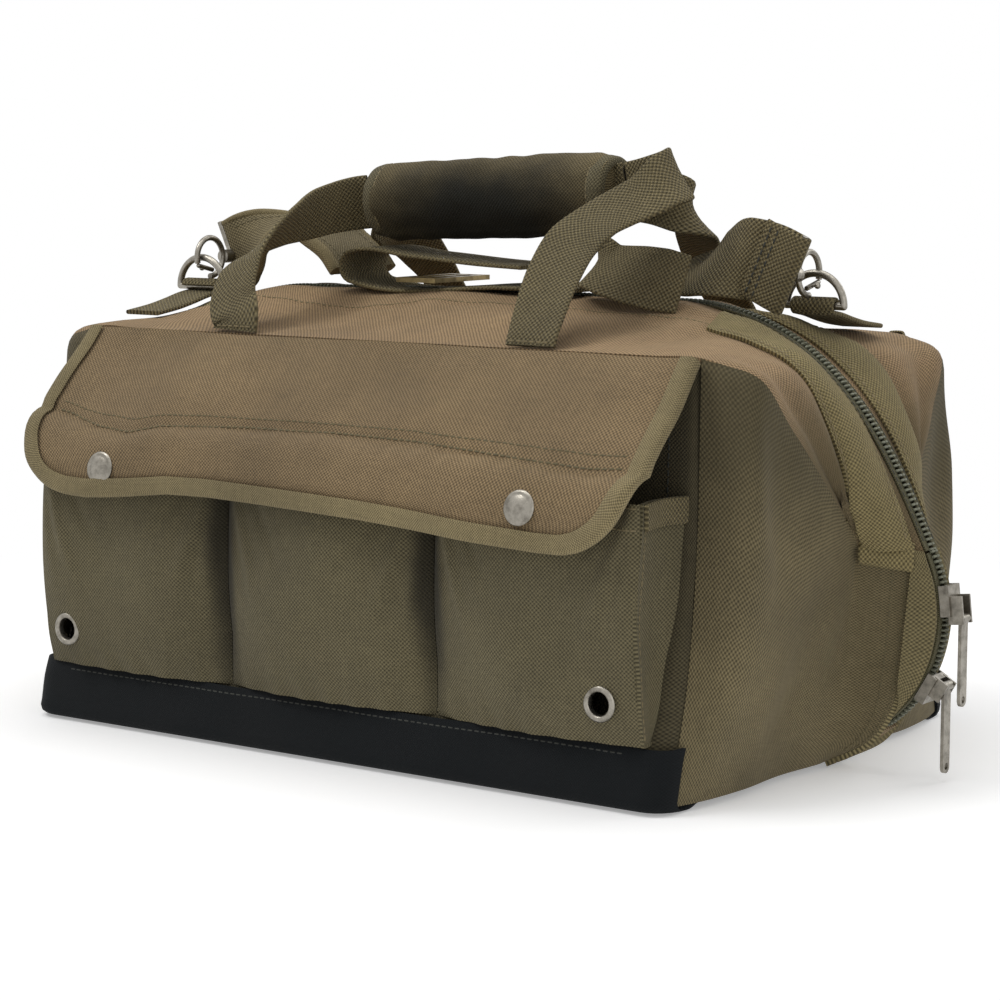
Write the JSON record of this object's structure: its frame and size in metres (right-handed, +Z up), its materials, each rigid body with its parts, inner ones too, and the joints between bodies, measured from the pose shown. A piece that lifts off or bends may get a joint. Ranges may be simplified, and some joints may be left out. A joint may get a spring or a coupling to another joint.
{
  "type": "tool bag",
  "caption": "Wide-mouth canvas tool bag with hinged steel mouth frames, flap pockets, a double-ended zip, carrying handles and a clipped shoulder strap.",
  "frame": {"origin": "bottom centre of the base, on the surface it stands on", "axes": "+X toward the right-hand end with the zip sliders, -Y toward the front of the picture, +Z up"},
  "size_m": [0.5142, 0.3004, 0.2827],
  "materials": {
    "canvas": "stout plain-weave cotton duck, sewn and lightly creased",
    "slope_canvas": "the same duck, paler where light falls on the slopes",
    "pocket_canvas": "the same duck in the pockets, a little darker",
    "binding": "narrow woven binding tape",
    "webbing": "coarse woven cotton webbing",
    "black_fabric": "coated black base fabric with a stitch line",
    "board": "stiff base board",
    "steel": "spring steel mouth frames and rivets",
    "nickel": "antique nickel plate, worn",
    "brass": "dull antique brass",
    "zip": "zip tape with moulded teeth"
  },
  "bodies": {
    "bag": {"base_pan": "black_fabric", "base_board": "board", "front_wall": "canvas", "back_wall": "canvas", "left_end_panel": "canvas", "right_end_panel": "canvas", "channel_ends": "webbing", "left_fin_zip": "zip", "right_fin_zip": "zip", "zip_end_tabs": "canvas", "frame_hinges": "steel", "front_pocket_left": "pocket_canvas", "front_pocket_mid": "pocket_canvas", "front_pocket_right": "pocket_canvas", "front_pocket_gussets": "pocket_canvas", "front_pocket_hems": "webbing", "back_pocket_left": "pocket_canvas", "back_pocket_mid": "pocket_canvas", "back_pocket_right": "pocket_canvas", "back_pocket_gussets": "pocket_canvas", "back_pocket_hems": "webbing", "front_tool_loops": "webbing", "back_tool_loops": "webbing", "grommets": "nickel", "snap_studs": "nickel", "left_tab": "webbing", "right_tab": "webbing", "left_hook": "nickel", "right_hook": "nickel", "shoulder_pad": "canvas", "strap_fold": "webbing", "strap_loop": "webbing", "strap_run": "webbing", "tri_glide": "brass"},
    "front_mouth": {"front_frame": "steel", "front_zip_half": "zip", "front_top_panel": "slope_canvas", "front_channel": "webbing"},
    "back_mouth": {"back_frame": "steel", "back_zip_half": "zip", "back_top_panel": "slope_canvas", "back_channel": "webbing"},
    "front_flap_panel": {"front_flap": "canvas", "front_flap_binding": "binding", "front_snap_caps": "nickel"},
    "back_flap_panel": {"back_flap": "canvas", "back_flap_binding": "binding", "back_snap_caps": "nickel"},
    "upper_slider": {"slider_upper": "nickel"},
    "lower_slider": {"slider_lower": "nickel"},
    "upper_pull": {"pull_upper": "nickel"},
    "lower_pull": {"pull_lower": "nickel"},
    "grip": {"handle_grip": "pocket_canvas", "front_handle": "webbing", "back_handle": "webbing"},
    "left_d_ring": {"left_ring": "nickel"},
    "right_d_ring": {"right_ring": "nickel"},
    "left_hook_gate": {"left_gate": "nickel"},
    "right_hook_gate": {"right_gate": "nickel"}
  },
  "joints": [
    {"name": "front_mouth_opens", "type": "hinge", "parent": "bag", "child": "front_mouth", "pos_m": [0, 0, 0.1], "axis": [1, 0, 0], "range_deg": [0, 35], "deforming": ["front_zip_half", "front_top_panel", "front_channel"]},
    {"name": "back_mouth_opens", "type": "hinge", "parent": "bag", "child": "back_mouth", "pos_m": [0, 0, 0.1], "axis": [-1, 0, 0], "range_deg": [0, 35], "deforming": ["back_zip_half", "back_top_panel", "back_channel"]},
    {"name": "front_flap_lifts", "type": "hinge", "parent": "bag", "child": "front_flap_panel", "pos_m": [0, -0.09594, 0.19417], "axis": [-1, 0, 0], "range_deg": [0, 120]},
    {"name": "back_flap_lifts", "type": "hinge", "parent": "bag", "child": "back_flap_panel", "pos_m": [0, 0.09594, 0.19417], "axis": [1, 0, 0], "range_deg": [0, 120]},
    {"name": "upper_slider_runs", "type": "hinge", "parent": "bag", "child": "upper_slider", "pos_m": [0.187, 0, 0.075], "axis": [0, -1, 0], "range_deg": [0, 12]},
    {"name": "lower_slider_runs", "type": "hinge", "parent": "bag", "child": "lower_slider", "pos_m": [0.187, 0, 0.075], "axis": [0, -1, 0], "range_deg": [-8, 0]},
    {"name": "upper_pull_swings", "type": "hinge", "parent": "upper_slider", "child": "upper_pull", "pos_m": [0.25959, 0, 0.07469], "axis": [0, -1, 0], "range_deg": [0, 120]},
    {"name": "lower_pull_swings", "type": "hinge", "parent": "lower_slider", "child": "lower_pull", "pos_m": [0.25196, 0, 0.04331], "axis": [0, -1, 0], "range_deg": [0, 20]},
    {"name": "grip_lifts", "type": "slide", "parent": "bag", "child": "grip", "axis": [0, 0, 1], "range_m": [0, 0.03], "deforming": ["front_handle", "back_handle"]},
    {"name": "left_ring_swings", "type": "hinge", "parent": "bag", "child": "left_d_ring", "pos_m": [-0.171, -0.02, 0.21], "axis": [-1, 0, 0], "range_deg": [0, 13]},
    {"name": "right_ring_swings", "type": "hinge", "parent": "bag", "child": "right_d_ring", "pos_m": [0.171, 0.02, 0.21], "axis": [1, 0, 0], "range_deg": [0, 13]},
    {"name": "left_gate_opens", "type": "hinge", "parent": "bag", "child": "left_hook_gate", "pos_m": [-0.171, -0.02266, 0.22077], "axis": [1, 0, 0], "range_deg": [0, 14], "stiffness_Nm_per_rad": 0.05, "springref_deg": -5.73},
    {"name": "right_gate_opens", "type": "hinge", "parent": "bag", "child": "right_hook_gate", "pos_m": [0.171, 0.02266, 0.22077], "axis": [-1, 0, 0], "range_deg": [0, 14], "stiffness_Nm_per_rad": 0.05, "springref_deg": -5.73}
  ]
}
